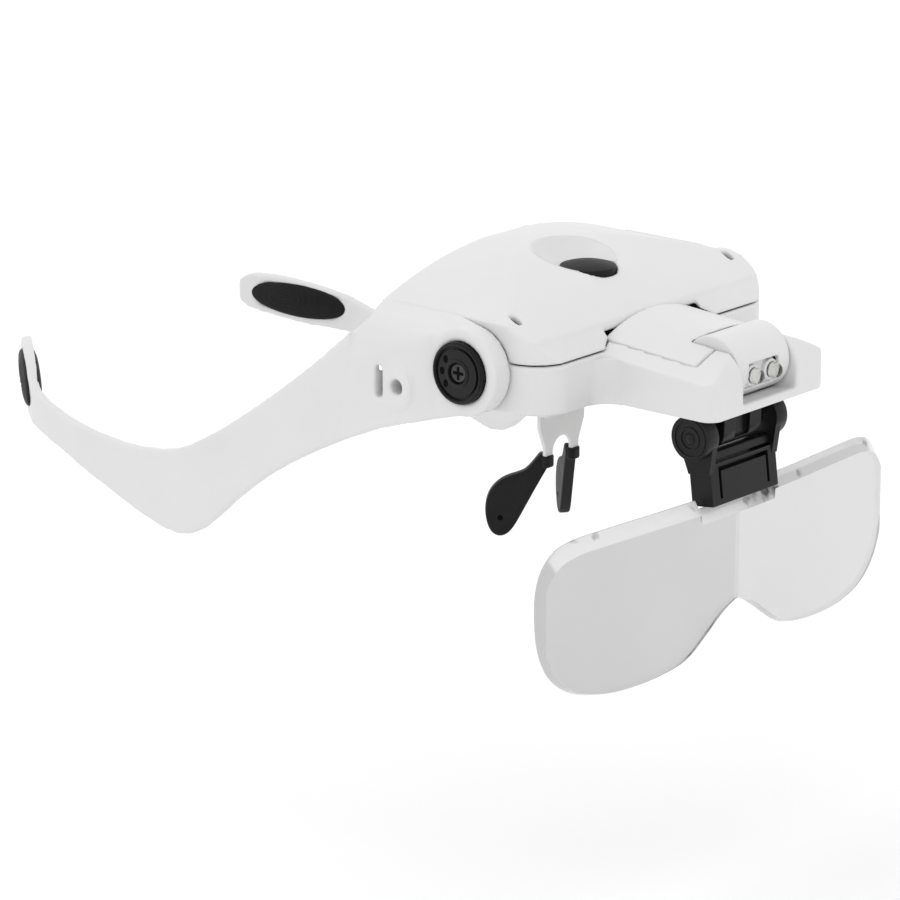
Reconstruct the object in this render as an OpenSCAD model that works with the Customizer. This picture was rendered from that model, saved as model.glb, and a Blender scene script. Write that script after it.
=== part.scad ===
// Lighted headband magnifier.
// Millimetres, +Z up. The origin is midway between the two temple hubs, on their common axis.
// +Y points back towards the wearer's ears and +X towards the wearer's left.

/* [Housing] */
// Half width of the housing between the hubs
body_half_w = 49.5; // [47:0.5:52]
// Distance from the hub axis forward to the housing's front wall
front_wall_y = 21.7; // [20.5:0.1:23]
// Height of the side wall above the hub axis
wall_top = 2.5; // [2:0.1:3.5]
// Depth of the housing's floor below the hub axis
floor_depth = 10.5; // [10:0.1:12]
// Wall thickness of the mouldings
wall = 2; // [1.6:0.1:2.4]
// Radius of the ball shape that the wearer's forehead presses into the back of the housing
head_r = 80; // [76:1:95]
// Distance from the hub axis back to the middle of the floor's rear edge
brow_y = 14; // [13:0.5:16]
// Distance from the hub axis back to the rim of the dome
rim_y = 32; // [30:0.5:34]
// Height of the dome above the hub axis
dome_h = 22; // [20:0.5:24]

/* [Arms and lamp] */
// Distance from the hub axis forward to the front of the arms
arm_front_y = 57; // [56:0.5:60]
// Half width over the two arms
arm_half_w = 24.5; // [23.5:0.5:27]
// Radius of the crowned top of the arms and the battery door
crown_r = 45; // [40:1:60]
// Radius of the turning lamp barrel
lamp_r = 8.8; // [8.5:0.1:9.2]
// Half width of the lamp barrel
lamp_half_w = 11; // [10:0.5:11.5]
// Distance between the two lamps
led_pitch = 7.8; // [6:0.2:9]
// Diameter of each lamp
led_d = 4.2; // [3:0.1:4.6]

/* [Lens and holder] */
// Width of the lens plate
lens_w = 147; // [130:1:158]
// Height of the lens plate
lens_h = 44.2; // [38:0.2:50]
// Thickness of the lens plate
lens_t = 2.6; // [2:0.1:3]
// Radius that the lens plate is bent to
lens_bend_r = 433; // [300:1:600]
// Tilt of the lens plate, bottom edge back
lens_tilt = 0; // [-4:1:8]
// Tilt of the holder, foot forward
holder_tilt = 7; // [4:1:9]
// Half width of the holder at its foot
holder_half_w = 14; // [13:0.5:16]
// Radius of the holder's ears
ear_r = 6; // [5.5:0.1:6.4]
// Radius of the hinge pin
pin_r = 1.5; // [1.2:0.1:1.8]

/* [Temples] */
// Distance from the hub axis back to the tips of the temples
temple_reach = 168; // [155:1:178]
// Radius of the hub disc at the root of each temple
hub_r = 11.7; // [11:0.1:12]
// Radius of the black hub cap
cap_r = 8.1; // [7.5:0.1:8.6]
// Radius of the pivot boss that the temple turns on
boss_r = 4; // [3.5:0.1:4.5]
// Radius of the hole for a strap's pin
strap_hole_r = 2; // [1.6:0.1:2.4]

/* [Nose piece] */
// Thickness of the nose bracket
bridge_t = 1.2; // [1:0.1:1.6]
// Half width of the nose bracket at the top
bridge_half_w = 9.4; // [8:0.2:11]
// Thickness of the nose pads
pad_t = 3; // [2.4:0.1:3.6]

/* [Fits] */
// Gap between parts that turn or slide past each other
gap = 0.3; // [0.25:0.05:0.4]
// Radial clearance of a shaft in its bore
run = 0.05; // [0.03:0.01:0.08]

/* [Hidden] */
$fn = 64;

white = "whitesmoke";
black = "#1c1c1e";
floor_z = -floor_depth;
front_y = -front_wall_y;
arm_y = -arm_front_y;
far = 90;

// Places that several parts share
lamp_y = arm_y + 11;
lamp_z = -0.5;
crown_top = 9.3;
crown_tilt = 4.5;
nose_arc_r = 11;
arm_inner = lamp_half_w + gap;
door_half_w = 19.5;
door_front_y = lamp_y - 1.5;
door_back_y = front_y + 4.2;
nose_arc_z = crown_top - (door_back_y - lamp_y) * tan(crown_tilt) - nose_arc_r;
hinge_y = arm_y + 13;
hinge_z = floor_z - ear_r - 1.5;
head_z = floor_z - 21.3;
head_y = brow_y + sqrt(head_r * head_r - (floor_z - head_z) * (floor_z - head_z));
temple_in = body_half_w + gap;
hub_out = temple_in + 6.4;
button_y = 3.2;
button_r = 7.4;
button_top = 18.3;
button_travel = 1;

// A circular cylinder along X from x0 to x1
module x_rod(x0, x1, r, y = 0, z = 0) {
    translate([min(x0, x1), y, z])
        rotate([90, 0, 90])
            cylinder(r = r, h = abs(x1 - x0));
}

// A side outline of [y, z] points, extruded along X from x0 to x1
module x_slab(x0, x1) {
    translate([x0, 0, 0])
        rotate([90, 0, 90])
            linear_extrude(x1 - x0)
                children();
}

// A front outline of [x, z] points, extruded back along Y from y0 to y1
module y_slab(y0, y1) {
    translate([0, y1, 0])
        rotate([90, 0, 0])
            linear_extrude(y1 - y0)
                children();
}

module box(x0, x1, y0, y1, z0, z1) {
    translate([x0, y0, z0])
        cube([x1 - x0, y1 - y0, z1 - z0]);
}

module both_sides() {
    children();
    mirror([1, 0, 0])
        children();
}

// A rectangle with round corners
module round_rect(x0, x1, y0, y1, r) {
    translate([x0 + r, y0])
        square([x1 - x0 - 2 * r, y1 - y0]);
    translate([x0, y0 + r])
        square([x1 - x0, y1 - y0 - 2 * r]);
    for (x = [x0 + r, x1 - r], y = [y0 + r, y1 - r])
        translate([x, y])
            circle(r);
}

// Catmull-Rom curve through rows of values, with n steps between rows
function blend(a, b, c, d, t) = 0.5 * (2 * b + (c - a) * t + (2 * a - 5 * b + 4 * c - d) * t * t
    + (3 * b - a - 3 * c + d) * t * t * t);
function curve(p, n) = let(last = len(p) - 1)
    [for (i = [0:last - 1], k = [0:n - 1])
        blend(p[max(i - 1, 0)], p[i], p[i + 1], p[min(i + 2, last)], k / n), p[last]];

// Housing outline from above, drawn in by inset
module head_plan(inset = 0) {
    intersection() {
        round_rect(-body_half_w + inset, body_half_w - inset, front_y + inset, 60, 11 - inset);
        translate([-far, front_y])
            square([2 * far, rim_y - inset - front_y]);
    }
}

// The hollow that the wearer's forehead takes out of the back, grown by the wall for the cavity
module head_form(grow = 0) {
    translate([0, head_y, head_z])
        sphere(r = head_r + grow, $fn = 128);
}

// The dome is where arches meet: one from ear to ear, one from brow to crown and one over each front corner
crest_y = 26;
crest_r = 75;
arch_r = 136;
corner_r = 54;
corner_drop = 0.8;
module dome_solid(drop) {
    intersection() {
        x_rod(-80, 80, crest_r - drop, crest_y, dome_h - crest_r);
        for (a = [-45, 45])
            rotate([0, 0, a]) {
                x_rod(-150, 150, corner_r - drop, -3, dome_h - corner_drop - corner_r);
                box(-150, 150, -3, 150, -60, 60);
            }
        translate([0, far, dome_h - arch_r])
            rotate([90, 0, 0])
                cylinder(r = arch_r - drop, h = 2 * far, $fn = 128);
    }
}

// Outline of the two arms and the bay between them, from above
module arm_plan(inset = 0) {
    round_rect(-arm_half_w + inset, arm_half_w - inset, arm_y + inset, front_y + 8, 4 - inset);
}

// The crowned top that the arms share with the battery door, falling forward, lowered by drop
module crown_solid(drop) {
    intersection() {
        translate([0, door_back_y, crown_top])
            rotate([90 + crown_tilt, 0, 0])
                translate([0, -crown_r, -60])
                    cylinder(r = crown_r - drop, h = 120, $fn = 128);
        union() {
            x_slab(-40, 40)
                translate([lamp_y, -60])
                    square([60, 120]);
            x_rod(-40, 40, nose_arc_r - drop, lamp_y, nose_arc_z);
            box(-40, 40, arm_y + drop, lamp_y, -60, nose_arc_z);
        }
    }
}

// The screws that close the housing stand at these places
screw_front_x = body_half_w - 12.5;
screw_rear_x = body_half_w - 7.5;
screw_at = [[-screw_front_x, -9], [screw_front_x, -9], [-screw_rear_x, 19.5], [screw_rear_x, 19.5]];
screw_r = 1;
screw_head_r = 1.9;
screw_post_r = 3.4;
screw_reach = 4;

// The circuit board lies on two posts with pins
board_z = 3.5;
board_t = 1.2;
board_hole_x = 16;
board_hole_y = 2;
board_pin_r = 1;
switch_top = board_z + board_t + 4.8;

// How deep the hub cap sits in the temple
cap_seat = 1.5;

module lower_housing() {
    color(white)
        difference() {
            union() {
                difference() {
                    translate([0, 0, floor_z])
                        linear_extrude(wall_top - floor_z)
                            head_plan();
                    head_form();
                    difference() {
                        translate([0, 0, floor_z + wall])
                            linear_extrude(30)
                                head_plan(wall);
                        head_form(wall);
                    }
                }
                difference() {
                    intersection() {
                        translate([0, 0, floor_z])
                            linear_extrude(30)
                                arm_plan();
                        crown_solid(0);
                    }
                    intersection() {
                        translate([0, 0, floor_z + wall])
                            linear_extrude(30)
                                arm_plan(wall);
                        crown_solid(wall);
                    }
                    box(-far, far, front_y + wall, far, floor_z + wall, far);
                }
                both_sides()
                    intersection() {
                        box(arm_inner, arm_inner + wall, arm_y, lamp_y + lamp_r, floor_z, 20);
                        crown_solid(0);
                    }
                for (p = screw_at)
                    translate([p[0], p[1], floor_z])
                        cylinder(r = screw_post_r, h = wall_top - floor_z);
                // Posts under the circuit board, and the rails that the battery door lies on
                for (x = [-board_hole_x, board_hole_x])
                    translate([x, board_hole_y, floor_z]) {
                        cylinder(r = 2.4, h = board_z - floor_z);
                        cylinder(r = board_pin_r, h = board_z + board_t + 0.6 - floor_z);
                    }
                both_sides()
                    difference() {
                        intersection() {
                            box(door_half_w - 2, arm_half_w - wall + 0.5, door_front_y - gap, front_y + wall,
                                -10, 20);
                            crown_solid(wall + gap);
                        }
                        crown_solid(wall + gap + 1.2);
                    }
                nose_boss();
                both_sides()
                    x_rod(body_half_w - wall - 1, hub_out - cap_seat, boss_r);
                both_sides()
                    x_rod(body_half_w - wall - 1, body_half_w, hub_r - 1.2);
            }
            // Bay for the lamp barrel, open at the top and the front
            x_rod(-arm_inner, arm_inner, lamp_r + gap, lamp_y, lamp_z);
            box(-arm_inner, arm_inner, arm_y - 1, lamp_y, lamp_z - 7.6, 30);
            box(-arm_inner, arm_inner, lamp_y - 1, lamp_y + 2.1, lamp_z + 5, 30);
            // Opening for the battery door
            difference() {
                box(-door_half_w - gap, door_half_w + gap, door_front_y - gap, door_back_y + gap, -5, 30);
                crown_solid(wall + gap);
            }
            // Bearing holes of the barrel
            x_rod(-arm_inner - 1.5, arm_inner + 1.5, 1.5 + run, lamp_y, lamp_z);
            // Passage from the battery bay to the housing
            box(-door_half_w + 2, door_half_w - 2, front_y - 4, front_y + wall + 2, floor_z + wall, 30);
            // Screw holes
            for (p = screw_at)
                translate([p[0], p[1], floor_z - 1]) {
                    cylinder(r = screw_r + run, h = 40);
                    cylinder(r = screw_head_r + 0.3, h = 2.4);
                }
            both_sides()
                x_rod(body_half_w - wall - 2, temple_in + 6, 1.1);
            // Slot that takes the nose bracket
            box(-bridge_half_w - run, bridge_half_w + run, bridge_y - bridge_t / 2 - run,
                bridge_y + bridge_t / 2 + run, nose_z - 1, nose_z + 6);
        }
}

nose_z = floor_z - 13;
bridge_y = 12;
leg_z = nose_z - 14.5;
leg_in = 4;
leg_out = 7;

// Boss under the floor that carries the nose bracket
module nose_boss() {
    intersection() {
        x_slab(-14, 14)
            polygon([[bridge_y - 8, floor_z + 0.5], [bridge_y + 5, floor_z + 0.5], [bridge_y + 4.5, nose_z],
                [bridge_y - 4.5, nose_z]]);
        y_slab(-20, 40)
            polygon([[-14, floor_z + 1], [14, floor_z + 1], [14, floor_z - 4], [11, nose_z], [-11, nose_z],
                [-14, floor_z - 4]]);
    }
}

module top_cover() {
    color(white)
        difference() {
            intersection() {
                translate([0, 0, wall_top + gap])
                    linear_extrude(30)
                        head_plan();
                dome_solid(0);
            }
            head_form();
            // Slope between the dome and the front wall
            x_slab(-far, far)
                polygon([[front_y + 4.7, 8], [front_y + 4.7, 40], [front_y - 9.4, 40], [front_y - 9.4, -7.6]]);
            difference() {
                intersection() {
                    translate([0, 0, -20])
                        linear_extrude(60)
                            head_plan(wall);
                    dome_solid(wall);
                }
                head_form(wall);
                for (p = screw_at)
                    translate([p[0], p[1], wall_top])
                        cylinder(r = screw_post_r, h = 30);
                // Solid collar around the button, which keeps its flange in
                translate([0, button_y, collar_z])
                    cylinder(r = button_r + 5, h = 30);
            }
            for (p = screw_at)
                translate([p[0], p[1], 0])
                    cylinder(r = screw_r + run, h = wall_top + screw_reach + 0.5);
            // Room for the housing's round cheeks behind the temple hubs
            both_sides()
                x_rod(body_half_w - wall - 1 - gap, body_half_w + 1, hub_r - 1.2 + gap);
            // Cuts for the crowned arms and the battery door
            intersection() {
                box(-arm_half_w - gap, arm_half_w + gap, -60, door_back_y, -30, 60);
                crown_solid(-gap);
            }
            box(-door_half_w - gap, door_half_w + gap, -60, door_back_y, -30, 60);
            // Dish and bore of the button
            translate([0, button_y + 1.5, button_top + 14.5])
                sphere(r = 18, $fn = 96);
            translate([0, button_y, 0])
                cylinder(r = button_r + gap, h = 40);
            both_sides()
                box(body_half_w - 5.8, body_half_w - 3.6, -10.6, -7, 0, 30);
        }
}

module battery_door() {
    color(white)
        difference() {
            intersection() {
                box(-door_half_w, door_half_w, door_front_y, door_back_y - gap, -10, 30);
                crown_solid(0);
            }
            crown_solid(wall);
            x_rod(-arm_inner, arm_inner, lamp_r + gap, lamp_y, lamp_z);
            box(-arm_inner, arm_inner, -80, lamp_y + 2.4, -30, 30);
        }
}

flange_t = 1.3;
collar_z = switch_top + button_travel + 0.1 + flange_t + gap;

module power_button() {
    low = collar_z - gap - flange_t;
    color(black)
        translate([0, button_y, 0]) {
            intersection() {
                translate([0, 0, low])
                    cylinder(r = button_r, h = 20);
                translate([0, 0, button_top - 22])
                    sphere(r = 22, $fn = 96);
            }
            translate([0, 0, low])
                cylinder(r = button_r + 1.2, h = flange_t);
        }
}

module switch_body() {
    color("dimgray") {
        box(-4, 4, button_y - 4, button_y + 4, board_z + board_t, switch_top - 1);
        translate([0, button_y, switch_top - 1.5])
            cylinder(r = 1.6, h = 1.5);
    }
}

module circuit_board() {
    color("darkgreen")
        difference() {
            box(-20, 20, -12, 16, board_z, board_z + board_t);
            for (x = [-board_hole_x, board_hole_x])
                translate([x, board_hole_y, board_z - 1])
                    cylinder(r = board_pin_r + run, h = 4);
        }
}

cell_y = front_y - 4.6;
cell_r = 10;
module battery_cells() {
    color("silver")
        for (k = [0, 1])
            translate([0, cell_y, floor_z + wall + 0.3 + k * 3.3])
                cylinder(r = cell_r, h = 3.2);
}

module battery_contacts() {
    color("gold") {
        box(-4, 4, cell_y - 8, cell_y + 8, floor_z + wall, floor_z + wall + 0.3);
        box(-cell_r - 1.2, -cell_r - 0.05, cell_y - 3, cell_y + 3, floor_z + wall, floor_z + wall + 5);
    }
}

module lamp_barrel() {
    color(white)
        difference() {
            union() {
                x_rod(-lamp_half_w, lamp_half_w, lamp_r, lamp_y, lamp_z);
                x_rod(-lamp_half_w - 1.5, lamp_half_w + 1.5, 1.5, lamp_y, lamp_z);
            }
            x_rod(-lamp_half_w + 1.5, lamp_half_w - 1.5, lamp_r - 1.5, lamp_y, lamp_z);
            box(-led_pitch / 2 - 2.4, led_pitch / 2 + 2.4, lamp_y - 12, lamp_y - 4, led_z - 3.3, led_z + 3.3);
        }
}

led_z = lamp_z - 1.6;
led_long = 4.4;
led_board_y = lamp_y - 4.8;

module led_lamps() {
    color("lightcyan")
        for (x = [-led_pitch / 2, led_pitch / 2])
            translate([x, led_board_y, led_z])
                rotate([90, 0, 0]) {
                    cylinder(r = led_d / 2, h = led_long);
                    translate([0, 0, led_long])
                        intersection() {
                            sphere(r = led_d / 2);
                            cylinder(r = 4, h = 4);
                        }
                }
}

module led_board() {
    color("darkgreen")
        box(-led_pitch / 2 - 4, led_pitch / 2 + 4, led_board_y, led_board_y + 1, lamp_z - 4.5, lamp_z + 2.8);
}

block_half_w = 8;
ear_in = 12.4;
ear_out = 17;

module hinge_block() {
    color(black)
        difference() {
            union() {
                box(-block_half_w - 1.5, block_half_w + 1.5, hinge_y - 5.5, hinge_y + 5.5, floor_z - 1.8, floor_z);
                x_slab(-block_half_w, block_half_w)
                    polygon([[hinge_y - 4.4, floor_z - 1], [hinge_y + 4.4, floor_z - 1],
                        [hinge_y + 4.2, hinge_z], [hinge_y - 4.2, hinge_z]]);
                x_rod(-block_half_w, block_half_w, 4.2, hinge_y, hinge_z);
            }
            x_rod(-20, 20, pin_r + run, hinge_y, hinge_z);
            box(-3, 3, hinge_y - 8, hinge_y - 2.8, hinge_z - 2, floor_z - 2);
        }
}

module hinge_pin() {
    color("silver")
        x_rod(-ear_out + 0.6, ear_out - 0.6, pin_r, hinge_y, hinge_z);
}

// The holder is drawn hanging straight down from the hinge, then tilted
module on_hinge() {
    translate([0, hinge_y, hinge_z])
        rotate([-holder_tilt, 0, 0])
            children();
}

holder_t = 6.8;
holder_foot = -18.6;
socket_t = lens_t + 2 * gap;

module lens_holder() {
    color(black)
        on_hinge()
            difference() {
                union() {
                    both_sides()
                        x_rod(ear_in, ear_out, ear_r);
                    x_slab(-holder_half_w, holder_half_w)
                        polygon([[-holder_t / 2, holder_foot], [holder_t / 2, holder_foot],
                            [holder_t / 2, -8], [ear_r - 1.4, -4], [-ear_r + 1.4, -4], [-holder_t / 2, -8]]);
                    both_sides()
                        x_slab(ear_in, holder_half_w + 0.6)
                            polygon([[-ear_r, 0], [ear_r, 0], [holder_t / 2, -10], [-holder_t / 2, -10]]);
                }
                // Space between the ears
                box(-ear_in, ear_in, -10, 10, -7.6, 10);
                x_rod(-20, 20, pin_r + run);
                // Socket for the lens tongue
                box(-10 - gap, 10 + gap, -socket_t / 2, socket_t / 2, holder_foot - 1, -10);
                // Latch tongue: a slot above it and one on either side
                box(-10.6, 10.6, -holder_t, -1, -9.8, -8.6);
                both_sides()
                    box(9.6, 10.6, -holder_t, -1, -17, -9.8);
            }
}

// The plate's top edge hangs this far below the holder's foot
lens_hang = 0.8;
lens_rise = 2.6;
lens_reach = lens_h - lens_rise;

// Half of the lens outline, from beside the holder round to the middle of the notch
lens_side = [[holder_half_w + 1.8, lens_rise], [40, 2.6], [58, 2.2], [64.4, 1.5], [69, 0], [73, -4], [75, -9.8],
    [75.2, -17.5], [74.2, -25], [71.8, -30.8], [68.6, -34.8], [64, -38], [58.5, -40], [50, -41.4], [40, -41.6],
    [31, -41], [23.5, -39.8], [18, -37.3], [9.5, -31.6], [5, -29], [0, -27.2]];

module lens_plate() {
    side = curve(lens_side, 3);
    s = lens_w / 150.4;
    sz = lens_reach / 41.6;
    half = concat([[holder_half_w + 1.8, 0]], [for (p = side) [max(p[0] * s, 0), p[1] < 0 ? p[1] * sz : p[1]]]);
    outline = concat(half, [for (i = [len(half) - 2:-1:0]) [-half[i][0], half[i][1]]]);
    color("lightcyan", 0.4)
        on_hinge() {
            translate([0, 0, holder_foot - lens_hang])
                rotate([holder_tilt + lens_tilt, 0, 0])
                    intersection() {
                        y_slab(-30, 60)
                            polygon(outline);
                        translate([0, lens_bend_r - lens_t / 2, -lens_reach - 4])
                            difference() {
                                cylinder(r = lens_bend_r, h = lens_h + 8, $fn = 256);
                                translate([0, 0, -1])
                                    cylinder(r = lens_bend_r - lens_t, h = lens_h + 10, $fn = 256);
                            }
                    }
            box(-10, 10, -lens_t / 2 + 0.05, lens_t / 2 - 0.05, holder_foot - lens_hang - 1, -10 - gap);
        }
}

module nose_bridge() {
    color("gainsboro")
        y_slab(bridge_y - bridge_t / 2, bridge_y + bridge_t / 2)
            difference() {
                polygon([[-bridge_half_w, nose_z + 5], [bridge_half_w, nose_z + 5], [bridge_half_w, nose_z - 4],
                    [leg_out, nose_z - 10], [leg_out, leg_z], [-leg_out, leg_z], [-leg_out, nose_z - 10],
                    [-bridge_half_w, nose_z - 4]]);
                translate([0, leg_z + 3])
                    circle(leg_in);
                translate([-leg_in, leg_z - 1])
                    square([2 * leg_in, 4]);
            }
}

// Nose pad for the wearer's left, a drop-shaped plate with a sleeve that slips over one leg of the bracket
module nose_pad() {
    big_r = 5.8;
    small_r = 2.6;
    reach = 17.2;
    a = acos((big_r - small_r) / reach);
    color(black)
        difference() {
            union() {
                translate([6.3, bridge_y + 2.1, nose_z - 14.1])
                    rotate([28.6, 0, 0])
                        rotate([0, -24, 0])
                            rotate([0, 0, -35])
                                translate([-pad_t / 2, 0, 0])
                                    rotate([0, 90, 0])
                                        difference() {
                                            linear_extrude(pad_t) {
                                                translate([reach, 0])
                                                    circle(big_r);
                                                circle(small_r);
                                                polygon([[reach - big_r * cos(a), big_r * sin(a) - 0.1],
                                                    [-small_r * cos(a), small_r * sin(a) - 0.1],
                                                    [-small_r * cos(a), 0.1 - small_r * sin(a)],
                                                    [reach - big_r * cos(a), 0.1 - big_r * sin(a)]]);
                                            }
                                            for (z = [-1, pad_t - 1])
                                                translate([reach + 1, 0, z])
                                                    cylinder(r = 0.8, h = 2);
                                        }
                box(leg_in - 0.8, leg_out + 0.8, bridge_y - 1.6, bridge_y + 1.8, leg_z - 1, leg_z + 4);
            }
            box(leg_in - run, leg_out + run, bridge_y - bridge_t / 2 - run, bridge_y + bridge_t / 2 + run,
                leg_z - run, nose_z);
        }
}

module nose_pad_left() {
    nose_pad();
}

module nose_pad_right() {
    mirror([1, 0, 0])
        nose_pad();
}

// Where the middle of the rubber pad lies before the band is drawn to its reach, and the stations round it
paddle_y = 155;

// Stations of the temple's band behind the hub: middle x beyond temple_in, y, bottom z, top z, thickness
temple_rows = [
    [8.3, 34.5, -22.8, 5.8, 2.8],
    [9.4, 40, -25.6, 0.6, 2.6],
    [10.6, 48, -29.8, -6.4, 2.6],
    [12.4, 60, -37.2, -16.0, 2.6],
    [14.0, 71, -46.2, -24.0, 2.6],
    [15.4, 81, -55.4, -30.4, 2.6],
    [16.2, 90, -58.2, -34.6, 2.6],
    [17.0, 102, -54.8, -36.2, 2.6],
    [17.4, 118, -48.2, -35.2, 2.6],
    [17.1, 132, -42.0, -32.0, 2.8],
    [15.4, paddle_y - 12, -38.0, -27.9, 3],
    [8.6, paddle_y - 3.5, -36.0, -24.0, 3],
    [2.4, paddle_y + 3.7, -33.4, -21.4, 3],
    [-3.2, paddle_y + 10.2, -30.4, -20.4, 3],
    [-5.6, paddle_y + 13, -27.2, -22.8, 2.6]];
wing_back = 36;
temple_stretch = (temple_reach - wing_back) / (temple_rows[len(temple_rows) - 1][1] - wing_back);
function temple_y(y) = y < wing_back ? y : wing_back + (y - wing_back) * temple_stretch;
temple_line = [for (r = curve(temple_rows, 2)) [r[0], temple_y(r[1]), r[2], r[3], r[4]]];
temple_end = len(temple_line) - 1;

// Which way the band faces at a station, seen from above
function side_dir(i) = let(a = temple_line[max(i - 1, 0)], b = temple_line[min(i + 1, temple_end)],
    d = [b[0] - a[0], b[1] - a[1]]) [d[1], -d[0]] / norm(d);

module temple_band() {
    function edge(i, s) = [temple_in + temple_line[i][0], temple_line[i][1]]
        + side_dir(i) * s * temple_line[i][4] / 2;
    intersection() {
        translate([0, 0, -80])
            linear_extrude(100)
                polygon(concat([for (i = [0:temple_end]) edge(i, 1)],
                    [for (i = [temple_end:-1:0]) edge(i, -1)]));
        x_slab(30, far)
            polygon(concat([for (r = temple_line) [r[1], r[3]]],
                [for (i = [temple_end:-1:0]) [temple_line[i][1], temple_line[i][2]]]));
    }
}

// The wing carries the dome's arch on over the hub and down to the band, solid as far back as wing_full
wing_t = 2.6;
wing_full = 16.5;
wing_out = [[-1.8, 14.4], [1.2, 12.9], [4.2, 10.9], [6.8, 8.2], [8.6, 4.6], [9.6, 0], [10, -8], [10.4, -30]];
wing_side = [[-2, -11], [12, -15], [25, -18.9], [wing_back, -23.6], [wing_back, 4.4], [34, 6.3], [31.6, 8.8],
    [31, 12.5], [29, 14.4], [12, 14.4], [4, 13], [-2, 11.5]];
wing_plan = [[0, -2], [6.2, -2], [6.2, 8], [7.8, 14], [9.2, 25], [10.2, wing_back], [0, wing_back]];

module temple_wing() {
    translate([temple_in, 0, 0])
        intersection() {
            union() {
                y_slab(-12, 40)
                    polygon(concat(wing_out, [for (i = [len(wing_out) - 1:-1:0]) wing_out[i] - [wing_t, 0.9]]));
                y_slab(-12, wing_full)
                    polygon(concat(wing_out, [[-2, -30]]));
            }
            x_slab(-10, 20)
                polygon(wing_side);
            translate([0, 0, -40])
                linear_extrude(80)
                    polygon(wing_plan);
        }
}

strap_y = 19.6;
strap_z = -6.9;
slot_y = 25.4;

// The rubber pad's place on the paddle: X along the paddle, Y out through its faces
paddle_x = 5.8;
paddle_z = -28.6;
paddle_turn = 130.8;
paddle_rise = 13;
module on_paddle() {
    translate([temple_in + paddle_x, temple_y(paddle_y), paddle_z])
        rotate([0, 0, paddle_turn])
            rotate([0, -paddle_rise, 0])
                children();
}

// A bar with round ends through the paddle
module pad_bar(half_l, r, t) {
    for (x = [-half_l + r, half_l - r])
        translate([x, t / 2, 0])
            rotate([90, 0, 0])
                cylinder(r = r, h = t);
    box(-half_l + r, half_l - r, -t / 2, t / 2, -r, r);
}

// Temple for the wearer's left, on the +X side
module temple() {
    color(white)
        difference() {
            union() {
                x_rod(temple_in, hub_out, hub_r);
                temple_wing();
                temple_band();
                x_rod(hub_out - 4.5, hub_out + 2.6, 6.4, strap_y + 1.4, strap_z);
            }
            x_rod(temple_in - 1, hub_out, boss_r + run);
            x_rod(hub_out - cap_seat - 0.1, hub_out + 5, cap_r + 0.1);
            x_rod(temple_in - 1, far, strap_hole_r, strap_y, strap_z);
            box(temple_in - 1, far, slot_y - 1, slot_y + 1, strap_z - 3.6, strap_z + 5);
            // Seats of the rubber pad, with a web left between them
            on_paddle() {
                pad_bar(pad_half_l - 1.2 + run, pad_r - 1.2 + run, 12);
                for (s = [-1, 1])
                    translate([0, s * (pad_in - run + 2), 0])
                        pad_bar(pad_half_l + run, pad_r + run, 4);
            }
        }
}

module temple_left() {
    temple();
}

module temple_right() {
    mirror([1, 0, 0])
        temple();
}

// Rubber pad set through the end of the temple, standing proud on both faces
pad_half_l = 13.6;
pad_r = 4.4;
pad_in = 1.4;
pad_lip = 1.1;
module ear_pad() {
    color(black)
        on_paddle() {
            pad_bar(pad_half_l - 1.2, pad_r - 1.2, 2 * pad_in + pad_lip);
            for (s = [-1, 1])
                translate([0, s * (pad_in + pad_lip / 2), 0])
                    pad_bar(pad_half_l, pad_r, pad_lip);
        }
}

module ear_pad_left() {
    ear_pad();
}

module ear_pad_right() {
    mirror([1, 0, 0])
        ear_pad();
}

module hub_cap() {
    color(black)
        difference() {
            x_rod(hub_out - cap_seat, hub_out + 1.1, cap_r);
            difference() {
                x_rod(hub_out + 0.5, hub_out + 2, cap_r - 1);
                x_rod(hub_out, hub_out + 3, cap_r - 1.8);
            }
            x_rod(hub_out - 2, hub_out + 3, 1.3);
            x_rod(hub_out - 0.4, hub_out + 3, 2.8);
            for (a = [140, 180, 220])
                x_rod(hub_out, hub_out + 3, 0.7, -5 * cos(a), 5 * sin(a));
        }
}

module hub_cap_left() {
    hub_cap();
}

module hub_cap_right() {
    mirror([1, 0, 0])
        hub_cap();
}

module pivot_screws() {
    color("silver")
        both_sides() {
            x_rod(temple_in - 4, hub_out - 0.2, 1.05);
            x_rod(hub_out - 0.3, hub_out + 0.7, 2.3);
        }
}

module housing_screws() {
    color("silver")
        for (p = screw_at)
            translate([p[0], p[1], floor_z + 0.2]) {
                cylinder(r = screw_head_r, h = 1.2);
                cylinder(r = screw_r, h = wall_top + screw_reach - floor_z);
            }
}

lower_housing();
top_cover();
battery_door();
power_button();
switch_body();
circuit_board();
battery_cells();
battery_contacts();
lamp_barrel();
led_lamps();
led_board();
hinge_block();
hinge_pin();
lens_holder();
lens_plate();
nose_bridge();
nose_pad_left();
nose_pad_right();
temple_left();
temple_right();
ear_pad_left();
ear_pad_right();
hub_cap_left();
hub_cap_right();
pivot_screws();
housing_screws();
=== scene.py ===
import math

import bmesh
import bpy
from mathutils import Matrix, Vector
from mathutils.bvhtree import BVHTree


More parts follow.
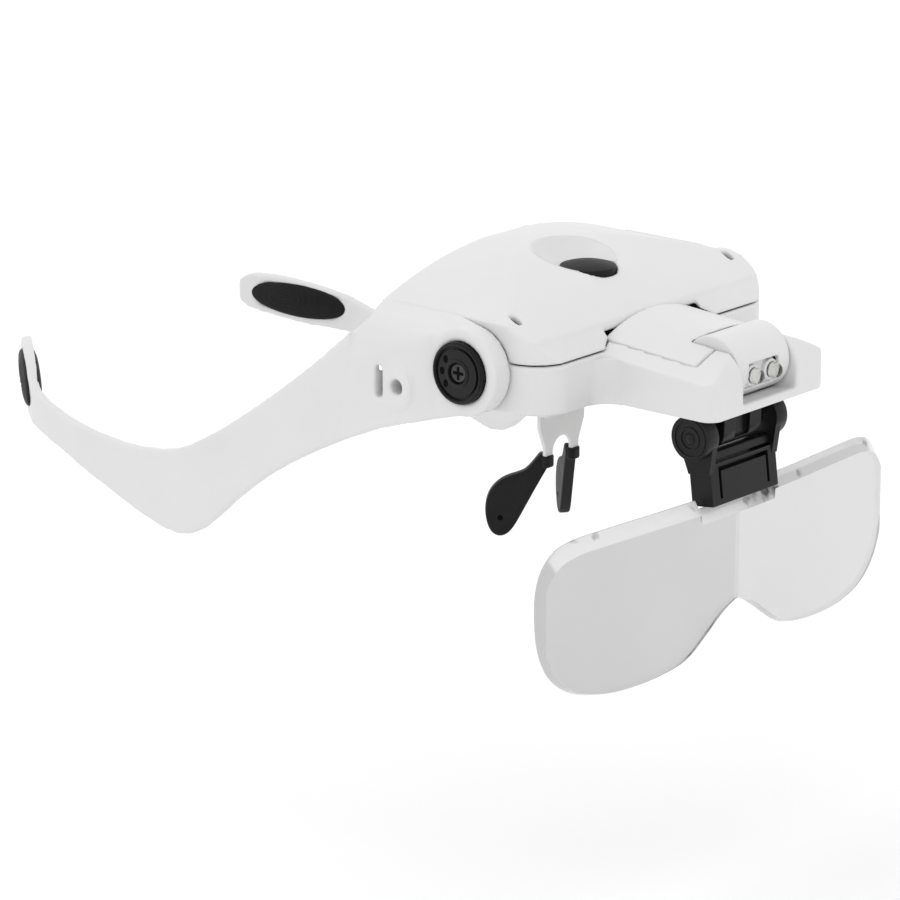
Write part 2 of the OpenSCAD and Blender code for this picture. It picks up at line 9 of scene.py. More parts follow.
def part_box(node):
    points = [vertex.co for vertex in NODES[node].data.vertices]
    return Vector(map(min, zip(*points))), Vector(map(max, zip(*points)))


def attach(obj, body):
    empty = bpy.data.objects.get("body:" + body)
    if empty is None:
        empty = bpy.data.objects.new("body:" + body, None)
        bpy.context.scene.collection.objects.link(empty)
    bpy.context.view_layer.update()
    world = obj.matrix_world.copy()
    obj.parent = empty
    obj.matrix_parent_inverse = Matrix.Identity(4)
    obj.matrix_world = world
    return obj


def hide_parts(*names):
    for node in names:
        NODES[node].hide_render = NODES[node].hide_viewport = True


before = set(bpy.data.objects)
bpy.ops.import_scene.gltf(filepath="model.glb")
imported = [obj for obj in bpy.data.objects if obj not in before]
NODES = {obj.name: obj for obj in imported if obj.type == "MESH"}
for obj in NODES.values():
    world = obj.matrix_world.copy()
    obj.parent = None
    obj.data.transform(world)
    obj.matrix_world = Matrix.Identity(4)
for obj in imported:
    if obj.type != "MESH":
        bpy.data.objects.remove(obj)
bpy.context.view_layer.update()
MM = 0.001
SIDES = ((-1, "right"), (1, "left"))

# Places taken from the part's own sizes, in millimetres and degrees
HINGE_Y = -44.0
HINGE_Z = -18.0
HOLDER_TILT = 7.0
LENS_BEND_R = 431.7
LENS_HALF_T = 1.3
LENS_FOOT = -19.4
TONGUE_HALF_W = 10.0
FLOOR_OF_BODY = -10.5
ARM_HALF_W = 24.5
FRONT_Y = -21.7
HUB_FACE = 57.3
LED_X = 3.9
LED_Z = -2.1
LED_BACK = -50.8


# Materials

PLASTIC_IOR = 1.5
ACRYLIC_IOR = 1.49
COLOUR_DRIFT = 40.0
ROUGH_DRIFT = 220.0
ROUGH_SPREAD = 0.04
METAL_DRIFT = 150.0
METAL_GRAIN = 900.0
METAL_GRAIN_DEPTH = 0.00001
TINT_DRIFT = 30.0
TINT_STEP = 0.025


def new_material(name):
    mat = bpy.data.materials.new(name)
    mat.use_nodes = True
    tree = mat.node_tree
    return mat, tree, tree.nodes["Principled BSDF"]


def add_node(tree, kind, **sockets):
    node = tree.nodes.new(kind)
    for key, value in sockets.items():
        node.inputs[key].default_value = value
    return node


def object_coords(tree):
    return tree.nodes.new("ShaderNodeTexCoord").outputs["Object"]


def noise(tree, scale, detail=4.0, roughness=0.55):
    node = add_node(tree, "ShaderNodeTexNoise", Scale=scale, Detail=detail, Roughness=roughness)
    tree.links.new(object_coords(tree), node.inputs["Vector"])
    return node.outputs["Fac"]


def ramp(tree, fac, low, high, start=0.3, end=0.7):
    node = tree.nodes.new("ShaderNodeValToRGB")
    node.color_ramp.elements[0].position = start
    node.color_ramp.elements[1].position = end
    node.color_ramp.elements[0].color = (*low, 1)
    node.color_ramp.elements[1].color = (*high, 1)
    tree.links.new(fac, node.inputs["Fac"])
    return node.outputs["Color"]


def bump(tree, shader, height, strength, distance):
    node = add_node(tree, "ShaderNodeBump", Strength=strength, Distance=distance)
    tree.links.new(height, node.inputs["Height"])
    tree.links.new(node.outputs["Normal"], shader.inputs["Normal"])


def moulded(name, low, high, rough, grain=1800.0, grain_depth=0.00002, coat=0.0, gloss=0.5):
    """Moulded plastic or rubber, whose colour and roughness drift a little over a fine grain."""
    mat, tree, shader = new_material(name)
    colour = ramp(tree, noise(tree, COLOUR_DRIFT), low, high)
    tree.links.new(colour, shader.inputs["Base Color"])
    roughness = ramp(tree, noise(tree, ROUGH_DRIFT), (rough - ROUGH_SPREAD,) * 3,
                     (rough + ROUGH_SPREAD,) * 3)
    tree.links.new(roughness, shader.inputs["Roughness"])
    shader.inputs["Coat Weight"].default_value = coat
    shader.inputs["Coat Roughness"].default_value = 0.2
    shader.inputs["Specular IOR Level"].default_value = gloss
    shader.inputs["IOR"].default_value = PLASTIC_IOR
    bump(tree, shader, noise(tree, grain, 2.0), 0.5, grain_depth)
    return mat


def metal(name, low, high, rough):
    mat, tree, shader = new_material(name)
    colour = ramp(tree, noise(tree, METAL_DRIFT), low, high)
    tree.links.new(colour, shader.inputs["Base Color"])
    shader.inputs["Metallic"].default_value = 1.0
    shader.inputs["Roughness"].default_value = rough
    bump(tree, shader, noise(tree, METAL_GRAIN, 2.0), 0.4, METAL_GRAIN_DEPTH)
    return mat


def clear(name, tint, rough, ior):
    mat, tree, shader = new_material(name)
    lighter = tuple(min(1.0, c + TINT_STEP) for c in tint)
    colour = ramp(tree, noise(tree, TINT_DRIFT), tint, lighter)
    tree.links.new(colour, shader.inputs["Base Color"])
    shader.inputs["Transmission Weight"].default_value = 1.0
    shader.inputs["Roughness"].default_value = rough
    shader.inputs["IOR"].default_value = ior
    return mat


def rim_material():
    """Polished edge of the lens, with painted reflections: its colour is a bright band with dark streaks that
    stand in for the light and dark surroundings reflected in the edge.
    """
    mat, tree, shader = new_material("acrylic_rim_painted_reflections")
    streaks = noise(tree, 75.0, 3.0)
    # Painted reflections: the dark streaks and the bright band are colour, not light caught by the edge.
    colour = ramp(tree, streaks, (0.06, 0.06, 0.06), (0.80, 0.80, 0.80), 0.33, 0.41)
    tree.links.new(colour, shader.inputs["Base Color"])
    shader.inputs["Transmission Weight"].default_value = 0.35
    shader.inputs["Roughness"].default_value = 0.1
    shader.inputs["IOR"].default_value = ACRYLIC_IOR
    return mat


WHITE = moulded("white_plastic", (0.685, 0.685, 0.685), (0.71, 0.71, 0.71), 0.38, coat=0.1)
BLACK = moulded("black_plastic", (0.004, 0.004, 0.0045), (0.012, 0.012, 0.0125), 0.34, 1500.0, 0.00003,
                gloss=0.2)
# Near-black, dull colour for thin patches that stand in for holes and recesses: painted shade, not hollows.
PAINTED_PIT_SHADE = moulded("painted_recess_shade", (0.001, 0.001, 0.001), (0.003, 0.003, 0.003), 0.7, 1500.0, 0.00002,
              gloss=0.05)
RUBBER = moulded("black_rubber", (0.005, 0.005, 0.0055), (0.013, 0.013, 0.0135), 0.5, 2500.0, 0.00004,
                 gloss=0.18)
MILKY = moulded("nose_plastic", (0.70, 0.70, 0.695), (0.76, 0.76, 0.755), 0.35)
STEEL = metal("plated_steel", (0.50, 0.50, 0.50), (0.66, 0.66, 0.66), 0.25)
DARK_STEEL = metal("blackened_steel", (0.05, 0.05, 0.05), (0.09, 0.09, 0.09), 0.35)
BRASS = metal("contact_brass", (0.70, 0.50, 0.20), (0.80, 0.62, 0.30), 0.3)
BOARD = moulded("board_lacquer", (0.01, 0.10, 0.03), (0.02, 0.15, 0.05), 0.3, 600.0)
# The right half of the lens, nearer the camera, is tinted darker than the left: painted shade.
LENS_RIGHT_PAINTED_SHADE = clear("acrylic_right_painted_shade", (0.565, 0.565, 0.57), 0.0, ACRYLIC_IOR)
LENS_LEFT = clear("acrylic_left", (0.665, 0.665, 0.67), 0.0, ACRYLIC_IOR)
RESIN = clear("lamp_resin", (0.95, 0.95, 0.92), 0.05, PLASTIC_IOR)
LENS_RIM = rim_material()

FINISH = {
    "lower_housing": WHITE, "top_cover": WHITE, "battery_door": WHITE, "lamp_barrel": WHITE,
    "temple_left": WHITE, "temple_right": WHITE, "power_button": RUBBER, "switch_body": BLACK,
    "circuit_board": BOARD, "led_board": BOARD, "battery_cells": STEEL, "battery_contacts": BRASS,
    "led_lamps": RESIN, "hinge_block": BLACK, "hinge_pin": STEEL, "lens_holder": BLACK,
    "lens_plate": LENS_LEFT, "nose_bridge": MILKY, "nose_pad_left": RUBBER, "nose_pad_right": RUBBER,
    "ear_pad_left": RUBBER, "ear_pad_right": RUBBER, "hub_cap_left": BLACK, "hub_cap_right": BLACK,
    "pivot_screws": DARK_STEEL, "housing_screws": STEEL,
}

# Voxel size in millimetres and number of smoothing passes of each moulding
MOULD_SETTINGS = {
    "top_cover": (0.45, 10), "lower_housing": (0.45, 8), "battery_door": (0.4, 4), "lamp_barrel": (0.35, 4),
    "temple_left": (0.5, 14), "temple_right": (0.5, 14), "nose_bridge": (0.25, 3),
}

# Width of the rounded edges, in millimetres
BEVEL_WIDTHS = {
    "lens_holder": 0.4, "hinge_block": 0.4, "power_button": 0.5, "hub_cap_left": 0.25, "hub_cap_right": 0.25,
    "hinge_pin": 0.2, "led_lamps": 0.15,
}

WELD_DISTANCE = 0.000005
MERGE_DISTANCE = 0.000001
BEVEL_ANGLE = 32


def finish_node(name, mat):
    obj = NODES[name]
    obj.data.materials.clear()
    obj.data.materials.append(mat)


def add_bevel(obj, width):
    bevel = obj.modifiers.new("round_edges", "BEVEL")
    bevel.width = width * MM
    bevel.segments = 3
    bevel.limit_method = "ANGLE"
    bevel.angle_limit = math.radians(BEVEL_ANGLE)
    bevel.harden_normals = True
    bevel.use_clamp_overlap = True


def soften(name, width):
    """Rounds a piece's sharp edges without touching its mesh."""
    obj = NODES[name]
    weld = obj.modifiers.new("weld", "WELD")
    weld.merge_threshold = WELD_DISTANCE
    add_bevel(obj, width)


def mould(name, voxel, passes):
    """Gives a moulding the soft edges and blends of an injection-moulded shell."""
    obj = NODES[name]
    remesh = obj.modifiers.new("even_mesh", "REMESH")
    remesh.mode = "VOXEL"
    remesh.voxel_size = voxel * MM
    remesh.use_smooth_shade = True
    smooth = obj.modifiers.new("soft_edges", "SMOOTH")
    smooth.factor = 0.5
    smooth.iterations = passes


for node_name, node_mat in FINISH.items():
    finish_node(node_name, node_mat)
for node_name, (voxel, passes) in MOULD_SETTINGS.items():
    mould(node_name, voxel, passes)
for node_name, width in BEVEL_WIDTHS.items():
    soften(node_name, width)


# Pieces

def add_piece(name, verts, faces, mats, body, slot, crease=35.0):
    """Makes a mesh piece from points in millimetres and lets it ride on a body."""
    mesh = bpy.data.meshes.new(name)
    mesh.from_pydata([(x * MM, y * MM, z * MM) for x, y, z in verts], [], faces)
    work = bmesh.new()
    work.from_mesh(mesh)
    bmesh.ops.remove_doubles(work, verts=work.verts, dist=MERGE_DISTANCE)
    bmesh.ops.recalc_face_normals(work, faces=work.faces)
    work.to_mesh(mesh)
    work.free()
    for mat in mats:
        mesh.materials.append(mat)
    for poly in mesh.polygons:
        poly.use_smooth = True
    mesh.set_sharp_from_angle(angle=math.radians(crease))
    obj = bpy.data.objects.new(name, mesh)
    bpy.context.scene.collection.objects.link(obj)
    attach(obj, body)
    return obj


def lathe(profile, place, steps=48):
    """Turns a closed profile of (along, radius) points; place puts (along, u, v) in the part's frame."""
    verts, faces = [], []
    count = len(profile)
    for i in range(steps):
        a = 2 * math.pi * i / steps
        for along, r in profile:
            verts.append(place(along, r * math.cos(a), r * math.sin(a)))
    for i in range(steps):
        j = (i + 1) % steps
        for k in range(count):
            m = (k + 1) % count
            faces.append((i * count + k, i * count + m, j * count + m, j * count + k))
    return verts, faces


def prism(outline, place, low, high):
    """A closed prism over an outline of (u, v) points."""
    n = len(outline)
    verts = [place(low, u, v) for u, v in outline] + [place(high, u, v) for u, v in outline]
    faces = [tuple(range(n - 1, -1, -1)), tuple(range(n, 2 * n))]
    faces += [(i, (i + 1) % n, n + (i + 1) % n, n + i) for i in range(n)]
    return verts, faces


def ellipse(u, v, half_u, half_v, step):
    """Outline of an ellipse about (u, v), with a point every step degrees."""
    return [(u + half_u * math.cos(math.radians(t)), v + half_v * math.sin(math.radians(t)))
            for t in range(0, 360, step)]


def rounded(points, passes=2):
    """Cuts a closed outline's corners, pass by pass."""
    for _ in range(passes):
        points = [(0.75 * a[0] + 0.25 * b[0], 0.75 * a[1] + 0.25 * b[1]) if k == 0 else
                  (0.25 * a[0] + 0.75 * b[0], 0.25 * a[1] + 0.75 * b[1])
                  for a, b in zip(points, points[1:] + points[:1]) for k in (0, 1)]
    return points


def turn_about(axis, degrees):
    return Matrix.Rotation(math.radians(degrees), 4, axis)


def on_holder(x, y, z):
    """A point given in the holder's own tilted frame, from the hinge."""
    lean = math.radians(HOLDER_TILT)
    return (x, HINGE_Y + math.cos(lean) * y + math.sin(lean) * z,
            HINGE_Z - math.sin(lean) * y + math.cos(lean) * z)


def solid_tree(node):
    """Search tree over a CAD solid's faces, for rays."""
    mesh = NODES[node].data
    return BVHTree.FromPolygons([v.co for v in mesh.vertices], [tuple(p.vertices) for p in mesh.polygons])


# Lens: a curved plate with a sloped rim, on the outline of its CAD solid, and the tongue that slides
# in the holder. The two take the place of the CAD plate.

EDGE_TRIM = 0.03
TOP_RIM, SIDE_RIM, FOOT_RIM = 3.5, 1.5, 0.6
RIM_BACK = 0.9
FULL_RIM_HEIGHT = 9.0
FACE_NORMAL = 0.93
LENS_STEP_X = 15.8
LENS_COLUMNS = 64
LENS_INNER_ROWS = 26


def lens_middle(x):
    lean = math.radians(HOLDER_TILT)
    top_y = HINGE_Y + math.sin(lean) * LENS_FOOT
    return top_y + LENS_BEND_R - math.sqrt(LENS_BEND_R ** 2 - x * x)


def lens_outline(half_w):
    """Lowest and highest point of the plate at each column, read from the CAD solid."""
    tree = solid_tree("lens_plate")

    def hit(x, start, way):
        at = tree.ray_cast(Vector((x, lens_middle(x), start)) * MM, Vector((0, 0, way)))[0]
        return at.z / MM if at else None

    xs = [half_w * math.sin(math.pi / 2 * k / LENS_COLUMNS) for k in range(-LENS_COLUMNS, LENS_COLUMNS + 1)]
    xs = [x for x in xs if abs(abs(x) - LENS_STEP_X) > 0.4]
    xs = sorted(xs + [s * (LENS_STEP_X + d) for s in (-1, 1) for d in (-0.1, 0.1)])
    shoulder = hit(TONGUE_HALF_W + 3, 0.0, -1)
    rows = []
    for x in xs:
        low = hit(x, -120.0, 1)
        high = shoulder if abs(x) < LENS_STEP_X else hit(x, 0.0, -1)
        if low is not None and high is not None:
            rows.append((x, low, high))
    return rows


def make_lens_plate():
    half_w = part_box("lens_plate")[1][0] / MM - EDGE_TRIM
    front, back, verts = [], [], []
    for x, low, high in lens_outline(half_w):
        tall = high - low
        k = min(1.0, tall / FULL_RIM_HEIGHT)
        start, stop = FOOT_RIM * k, tall - TOP_RIM * k
        steps = [0.0, start]
        steps += [start + (stop - start) * i / LENS_INNER_ROWS for i in range(1, LENS_INNER_ROWS)]
        steps += [stop, tall]
        line_front, line_back = [], []
        for d in steps:
            share = min(d / (FOOT_RIM * k), (tall - d) / (TOP_RIM * k),
                        (half_w + EDGE_TRIM - abs(x)) / SIDE_RIM, 1.0)
            y = lens_middle(x)
            line_front.append(len(verts))
            verts.append((x, y + RIM_BACK - (RIM_BACK + LENS_HALF_T) * max(share, 0.0), low + d))
            line_back.append(len(verts))
            verts.append((x, y + LENS_HALF_T, low + d))
        front.append(line_front)
        back.append(line_back)
    faces = []
    last = len(front[0]) - 1
    for i in range(len(front) - 1):
        for j in range(last):
            faces.append((front[i][j], front[i + 1][j], front[i + 1][j + 1], front[i][j + 1]))
            faces.append((back[i][j], back[i][j + 1], back[i + 1][j + 1], back[i + 1][j]))
        faces.append((front[i][0], back[i][0], back[i + 1][0], front[i + 1][0]))
        faces.append((front[i][last], front[i + 1][last], back[i + 1][last], back[i][last]))
    for i, way in ((0, 1), (len(front) - 1, -1)):
        for j in range(last):
            quad = (front[i][j], front[i][j + 1], back[i][j + 1], back[i][j])
            faces.append(quad[::way])
    plate = add_piece("lens_plate_clear", verts, faces, [LENS_RIGHT_PAINTED_SHADE, LENS_LEFT, LENS_RIM], "lens",
                      "clear_lens", 25.0)
    for poly in plate.data.polygons:
        # The right half takes the darker tint, which is painted shade; the left half takes the lighter one.
        poly.material_index = 1 if poly.center.x > 0 else 0
        # Faces that don't face forward take the rim material with its painted reflections.
        if abs(poly.normal.y) < FACE_NORMAL:
            poly.material_index = 2
    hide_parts("lens_plate")


def make_lens_tongue():
    top, chamfer, half_t = -10.3, 1.5, LENS_HALF_T - 0.05
    half_w = TONGUE_HALF_W
    outline = [(-half_w, LENS_FOOT), (half_w, LENS_FOOT), (half_w, top - chamfer), (half_w - chamfer, top),
               (chamfer - half_w, top), (-half_w, top - chamfer)]
    verts, faces = prism(outline, lambda a, u, v: on_holder(u, a, v), -half_t, half_t)
    tongue = add_piece("lens_tongue", verts, faces, [LENS_LEFT], "lens", "clear_lens")
    add_bevel(tongue, 0.3)


make_lens_plate()
make_lens_tongue()


# Lamps: a cup and a collar round each lamp's clear resin, and a bezel in the barrel's window

def make_lamps():
    for side, name in SIDES:
        def place(along, u, v, side=side):
            return (side * LED_X + u, LED_BACK - along, LED_Z + v)
        cup = [(2.4, 0.0), (2.4, 1.5), (3.6, 1.75), (3.6, 1.6), (2.9, 0.65), (2.9, 0.0)]
        add_piece("led_cup_" + name, *lathe(cup, place), [STEEL], "lamp", "steel")
        collar = [(2.0, 2.15), (2.0, 2.8), (3.1, 2.8), (3.35, 2.55), (3.35, 2.15)]
        add_piece("led_collar_" + name, *lathe(collar, place), [MILKY], "lamp", "lamp_resin")
    half_w, half_h, corner, front, back = 6.2, 3.2, 1.2, 2.1, 0.02
    outline = []
    for cx, cz, start in ((1, 1, 0), (-1, 1, 90), (-1, -1, 180), (1, -1, 270)):
        for i in range(7):
            a = math.radians(start + 15 * i)
            outline.append((cx * (half_w - corner) + corner * math.cos(a),
                            cz * (half_h - corner) + corner * math.sin(a)))
    verts, faces = prism(outline, lambda a, u, v: (u, LED_BACK - a, LED_Z + v), back, front)
    bezel = add_piece("lamp_bezel", verts, faces, [WHITE], "lamp", "white_shell")
    add_bevel(bezel, 0.12)


make_lamps()


# Hub caps: a raised boss round each screw, a rim ring, and thin dark patches of painted shade where the three
# holes and the screw's cross recess are

def make_hub_trim():
    pit_depth, pit_proud = 0.1, 0.03
    hole_orbit, hole_half_y, hole_half_z = 5, 0.75, 1.05
    arm_w, arm_r = 0.42, 1.7
    screw_head = HUB_FACE - 0.4
    boss = [(HUB_FACE - 0.6, 2.85), (HUB_FACE + 0.2, 2.85), (HUB_FACE + 0.35, 3.0), (HUB_FACE + 0.35, 3.45),
            (HUB_FACE + 0.15, 3.75), (HUB_FACE - 0.6, 3.75)]
    rim = [(HUB_FACE - 0.4, 7.3), (HUB_FACE + 0.2, 7.35), (HUB_FACE + 0.3, 7.55), (HUB_FACE + 0.2, 7.85),
           (HUB_FACE - 0.4, 8.0)]
    cross = [(arm_w, arm_w), (arm_w, arm_r), (-arm_w, arm_r), (-arm_w, arm_w), (-arm_r, arm_w),
             (-arm_r, -arm_w), (-arm_w, -arm_w), (-arm_w, -arm_r), (arm_w, -arm_r), (arm_w, -arm_w),
             (arm_r, -arm_w), (arm_r, arm_w)]
    for side, name in SIDES:
        def place(along, u, v, side=side):
            return (side * along, u, v)
        add_piece("hub_boss_" + name, *lathe(boss, place), [BLACK], "visor", "black_plastic")
        add_piece("hub_rim_" + name, *lathe(rim, place, 96), [BLACK], "visor", "black_plastic")
        # The holes and the cross recess are thin dark patches on the face, painted shade in place of hollows.
        for a in (-40, 0, 40):
            mid_y, mid_z = hole_orbit * math.cos(math.radians(a)), hole_orbit * math.sin(math.radians(a))
            oval = ellipse(mid_y, mid_z, hole_half_y, hole_half_z, 15)
            hole = prism(oval, place, HUB_FACE - pit_depth, HUB_FACE + pit_proud)
            add_piece("cap_hole_shade_%d_%s" % (a + 40, name), *hole, [PAINTED_PIT_SHADE], "visor", "black_plastic")
        recess = prism(cross, place, screw_head - pit_depth, screw_head + pit_proud)
        add_piece("screw_cross_shade_" + name, *recess, [PAINTED_PIT_SHADE], "visor", "steel")


make_hub_trim()


# Holder: rings and the pin's end on the outside of its ears, and the bar across its opening

def make_holder_trim():
    for side, name in SIDES:
        def place(along, u, v, side=side):
            return (side * along, HINGE_Y + u, HINGE_Z + v)
        for ring, (inner_r, outer_r) in enumerate(((4.5, 5.2), (2.5, 3.2))):
            profile = [(16.8, inner_r), (17.2, inner_r + 0.1), (17.3, inner_r + 0.25), (17.3, outer_r - 0.25),
                       (17.2, outer_r - 0.1), (16.8, outer_r)]
            add_piece("ear_ring_%d_%s" % (ring, name), *lathe(profile, place), [BLACK], "holder",
                      "black_plastic")
        dome = [(16.5, 0.0), (16.5, 1.5), (17.0, 1.45), (17.25, 0.9), (17.3, 0.0)]
        add_piece("pin_end_" + name, *lathe(dome, place), [BLACK], "holder", "black_plastic")
    bar = [(-2.8, -7.0), (2.8, -7.0), (2.8, -4.9), (2.2, -4.6), (-2.2, -4.6), (-2.8, -4.9)]
    bar_half_w = 12.3
    verts, faces = prism(bar, on_holder, -bar_half_w, bar_half_w)
    crossbar = add_piece("holder_crossbar", verts, faces, [BLACK], "holder", "black_plastic")
    add_bevel(crossbar, 0.25)


make_holder_trim()


# Ear pads: oval rubber pads with curved ribs, on both faces of the paddles

PADDLE_AT = (55.6, 155.0, -28.6)
PADDLE_TURN = 130.8
PADDLE_LEAN = -13.0
RIB_DEPTH = 0.13
RIB_PITCH = 1.7
RIB_CENTRE = 5
RIB_SQUASH = 1.6


def make_ear_pad(name, side, body, node):
    half_l, half_w, inner, proud = 14.2, 4.8, 1.35, 1.15
    rings, spokes = 30, 96
    turn = Matrix.Translation(PADDLE_AT) @ turn_about("Z", PADDLE_TURN) @ turn_about("Y", PADDLE_LEAN)
    verts, faces = [], []
    starts = []
    for face in (1, -1):
        starts.append(len(verts))
        for i in range(rings + 1):
            rho = max(i / rings, 0.001)
            for j in range(spokes):
                a = 2 * math.pi * j / spokes
                x, z = half_l * rho * math.cos(a), half_w * rho * math.sin(a)
                rise = proud * math.sqrt(max(0.0, 1 - rho ** 5))
                wave = math.cos(2 * math.pi * math.hypot(x - RIB_CENTRE, RIB_SQUASH * z) / RIB_PITCH)
                rib = RIB_DEPTH * wave * (1 - rho ** 4)
                p = turn @ Vector((x, face * (inner + rise + rib), z))
                verts.append((side * p.x, p.y, p.z))
    for f, start in enumerate(starts):
        outward = (f == 0) == (side > 0)
        for i in range(rings):
            for j in range(spokes):
                k = (j + 1) % spokes
                quad = (start + i * spokes + j, start + i * spokes + k, start + (i + 1) * spokes + k,
                        start + (i + 1) * spokes + j)
                faces.append(quad if outward else quad[::-1])
        cap = tuple(start + j for j in range(spokes))
        faces.append(cap[::-1] if outward else cap)
    edge = rings * spokes
    for j in range(spokes):
        k = (j + 1) % spokes
        quad = (starts[0] + edge + j, starts[0] + edge + k, starts[1] + edge + k, starts[1] + edge + j)
        faces.append(quad if side > 0 else quad[::-1])
    pad = add_piece(name, verts, faces, [RUBBER], body, "black_rubber", 60.0)
    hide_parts(node)


make_ear_pad("ear_pad_ribbed_left", 1, "left_temple", "ear_pad_left")
make_ear_pad("ear_pad_ribbed_right", -1, "right_temple", "ear_pad_right")


# Nose pads: drops that draw in above the round end, with a small sleeve on the bracket's leg

NOSE_PAD_AT = (6.3, 14.1, -37.6)
NOSE_PAD_THICK = 3.0
NOSE_PAD_DROP = [(-3, 1.6), (0, 1.6), (3.4, 1.8), (5.5, 3.0), (7.4, 4.5), (9.5, 5.6), (12, 6.2), (14.5, 6.1),
                 (17, 5.2), (19.5, 3.6), (21.6, 1.4), (22.9, -1), (22.7, -3.2), (21, -4.7), (18, -5.0),
                 (12, -4.1), (6, -3.2), (0, -2.4), (-3, -2.1)]
SLEEVE = [(3.5, 10.8), (7.5, 10.8), (7.5, 13.4), (3.5, 13.4)]
SLEEVE_LOW, SLEEVE_HIGH = -38.7, -35.4


def make_nose_pads():
    drop = rounded(NOSE_PAD_DROP)
    turn = (Matrix.Translation(NOSE_PAD_AT) @ turn_about("X", 28.6) @ turn_about("Y", -24.0)
            @ turn_about("Z", -35.0) @ Matrix.Translation((-NOSE_PAD_THICK / 2, 0, 0)) @ turn_about("Y", 90.0))
    pit_proud, pit_r = 0.03, 0.75
    for side, name in SIDES:
        def place(along, u, v, side=side):
            p = turn @ Vector((u, v, along))
            return (side * p.x, p.y, p.z)

        def upright(along, u, v, side=side):
            return (side * u, v, along)
        pad = add_piece("nose_pad_drop_" + name, *prism(drop, place, 0.0, NOSE_PAD_THICK), [RUBBER], "visor",
                        "black_rubber")
        add_bevel(pad, 0.6)
        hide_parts("nose_pad_" + name)
        # A dark plug through the pad stands in for its pit: painted shade.
        pit = prism(ellipse(18.2, -0.4, pit_r, pit_r, 20), place, -pit_proud, NOSE_PAD_THICK + pit_proud)
        add_piece("nose_pad_pit_shade_" + name, *pit, [PAINTED_PIT_SHADE], "visor", "black_rubber")
        sleeve = prism(rounded(SLEEVE, 1), upright, SLEEVE_LOW, SLEEVE_HIGH)
        grip = add_piece("nose_pad_sleeve_" + name, *sleeve, [RUBBER], "visor", "black_rubber")
        add_bevel(grip, 0.5)


make_nose_pads()


# Round filling where the arms meet the front wall

def make_arm_fillets():
    r, overlap, top = 6.0, 0.3, 1.4
    arc = [(r - r * math.cos(math.radians(a)), r * math.sin(math.radians(a))) for a in range(0, 91, 6)]
    outline = [(-overlap, 0.0)] + arc + [(r, r + overlap), (-overlap, r + overlap)]
    for side, name in SIDES:
        def place(along, u, v, side=side):
            return (side * (ARM_HALF_W + u), FRONT_Y - r + v, along)
        fillet = add_piece("arm_fillet_" + name, *prism(outline, place, FLOOR_OF_BODY, top), [WHITE], "visor",
                           "white_shell")
        add_bevel(fillet, 0.3)


make_arm_fillets()


# Lining of the button's dish. The CAD dish cuts through the cover behind the button and leaves a slit,
# which this piece covers in the scene. The solid keeps the slit.

def make_dish_liner():
    dish_y, dish_z, dish_r = 4.7, 32.8, 17.95
    button_y, bore_r, thick = 3.2, 7.9, 0.5
    spokes, rings = 144, 18
    widest, stride, least_reach = 16.0, 0.05, 0.6
    below, above, ray_top, missed = 0.14, 0.5, 60.0, -99.0
    tree = solid_tree("top_cover")

    def at_spoke(j, rho):
        a = 2 * math.pi * j / spokes
        return rho * math.sin(a), button_y + rho * math.cos(a)

    def dish_height(x, y):
        return dish_z - math.sqrt(dish_r ** 2 - x * x - (y - dish_y) ** 2)

    def on_dish(x, y):
        at = tree.ray_cast(Vector((x, y, ray_top)) * MM, Vector((0, 0, -1)))[0]
        top = at.z / MM if at else missed
        z = dish_height(x, y)
        return z - below <= top <= z + above

    reach = []
    for j in range(spokes):
        rho = widest
        while rho > bore_r and not on_dish(*at_spoke(j, rho)):
            rho -= stride
        reach.append(rho)
    reach = [(reach[j - 1] + reach[j] + reach[(j + 1) % spokes]) / 3 for j in range(spokes)]
    wide = [j for j in range(spokes) if reach[j] > bore_r + least_reach]
    order = sorted(wide, key=lambda j: j if j < spokes / 2 else j - spokes)
    verts, faces = [], []
    for j in order:
        for i in range(rings + 1):
            x, y = at_spoke(j, bore_r + (reach[j] - bore_r) * i / rings)
            verts.append((x, y, dish_height(x, y)))
    for m in range(len(order) - 1):
        if (order[m + 1] - order[m]) % spokes != 1:
            continue
        for i in range(rings):
            one, two = m * (rings + 1) + i, (m + 1) * (rings + 1) + i
            faces.append((one, one + 1, two + 1, two))
    liner = add_piece("dish_liner", verts, faces, [WHITE], "visor", "white_shell", 60.0)
    if liner.data.polygons[0].normal.z < 0:
        liner.data.flip_normals()
    thicken = liner.modifiers.new("thickness", "SOLIDIFY")
    thicken.thickness = thick * MM
    thicken.offset = -1.0


make_dish_liner()


# Camera, floor and light

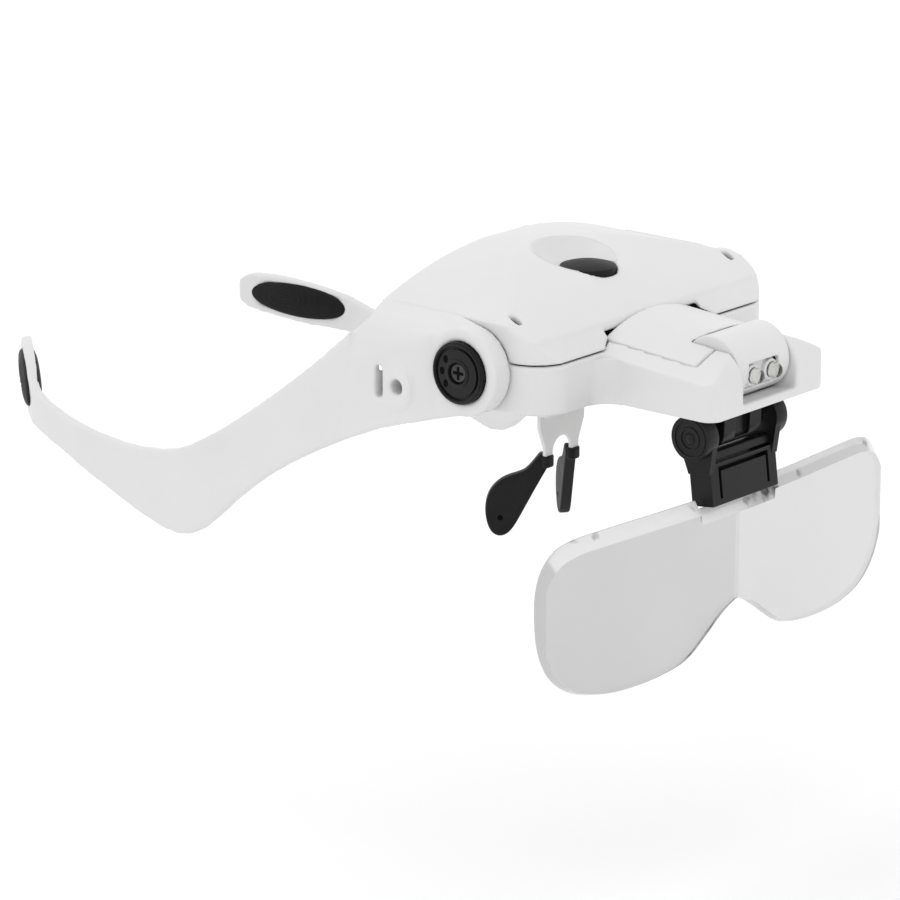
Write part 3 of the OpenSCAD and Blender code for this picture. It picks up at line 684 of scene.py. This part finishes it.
CAMERA_AT = Vector((-1.0010, -0.7911, 0.3376))
CAMERA_RIGHT = Vector((0.64355, -0.76540, 0.0))
CAMERA_UP = Vector((0.21358, 0.17958, 0.96028))
CAMERA_FORWARD = Vector((0.73500, 0.61799, -0.27904))
SENSOR_WIDTH = 36.0
FOCAL_PIXELS = 5012.61
IMAGE_PIXELS = 900.0
FLOOR_Z = -0.14
FLOOR_HALF = 6.0
WORLD_STRENGTH = 1.05
KEY_AT = (-0.3, 0.5, 1.2)
KEY_SIZE = (0.7, 0.7)
KEY_POWER = 1.5


def add_camera():
    data = bpy.data.cameras.new("camera")
    data.sensor_width = SENSOR_WIDTH
    data.lens = SENSOR_WIDTH * FOCAL_PIXELS / IMAGE_PIXELS
    data.clip_end = 20.0
    cam = bpy.data.objects.new("camera", data)
    bpy.context.scene.collection.objects.link(cam)
    turn = Matrix((CAMERA_RIGHT, CAMERA_UP, -CAMERA_FORWARD)).transposed()
    cam.matrix_world = Matrix.Translation(CAMERA_AT) @ turn.to_4x4()
    bpy.context.scene.camera = cam


def add_floor():
    mesh = bpy.data.meshes.new("floor")
    far = FLOOR_HALF
    mesh.from_pydata([(-far, -far, FLOOR_Z), (far, -far, FLOOR_Z), (far, far, FLOOR_Z), (-far, far, FLOOR_Z)],
                     [], [(0, 1, 2, 3)])
    floor = bpy.data.objects.new("floor", mesh)
    bpy.context.scene.collection.objects.link(floor)
    mat, _, shader = new_material("floor_white")
    shader.inputs["Base Color"].default_value = (0.97, 0.97, 0.97, 1)
    shader.inputs["Roughness"].default_value = 1.0
    floor.data.materials.append(mat)


def add_key_light():
    data = bpy.data.lights.new("key", "AREA")
    data.shape = "RECTANGLE"
    data.size, data.size_y = KEY_SIZE
    data.energy = KEY_POWER
    lamp = bpy.data.objects.new("key", data)
    lamp.location = KEY_AT
    lamp.rotation_euler = (-Vector(KEY_AT)).to_track_quat("-Z", "Y").to_euler()
    bpy.context.scene.collection.objects.link(lamp)


def add_world():
    world = bpy.data.worlds.new("studio")
    world.use_nodes = True
    background = world.node_tree.nodes["Background"]
    background.inputs["Color"].default_value = (1, 1, 1, 1)
    background.inputs["Strength"].default_value = WORLD_STRENGTH
    bpy.context.scene.world = world
    bpy.context.scene.view_settings.view_transform = "Standard"


add_camera()
add_floor()
add_world()
add_key_light()
